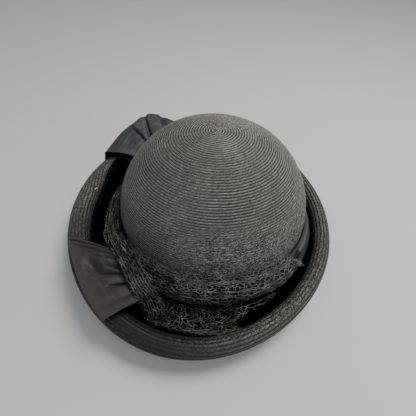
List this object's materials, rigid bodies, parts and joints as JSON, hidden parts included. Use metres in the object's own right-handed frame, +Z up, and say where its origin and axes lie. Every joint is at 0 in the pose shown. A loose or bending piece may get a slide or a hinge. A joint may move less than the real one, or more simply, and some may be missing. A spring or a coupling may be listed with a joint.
{
  "type": "breton hat",
  "caption": "Black sewn-straw hat with a domed crown, a velvet-lined brim turned up all round, a pleated ribbon band, open ribbon loops at one side and a gathered net veil.",
  "frame": {"origin": "middle of the head opening, on the plane that the hat rests on", "axes": "+Z up through the crown's tip, +Y to the back of the hat, along its longer plan axis, +X to the side away from the ribbon loops"},
  "size_m": [0.2742, 0.3031, 0.1358],
  "materials": {
    "crown_straw": "fine black straw braid sewn in a spiral, low sheen",
    "brim_straw": "fine black straw braid sewn row by row, low sheen",
    "velvet": "black silk velvet, dense pile",
    "band_ribbon": "charcoal faille ribbon, soft sheen",
    "bow_ribbon": "charcoal faille ribbon, soft sheen",
    "veil_net": "coarse black millinery net"
  },
  "bodies": {
    "root": {"crown": "crown_straw", "brim": "brim_straw", "velvet_facing": "velvet", "ribbon_band": "band_ribbon", "bow_loop_front": "bow_ribbon", "bow_loop_rear": "bow_ribbon", "veil": "veil_net"}
  },
  "joints": []
}
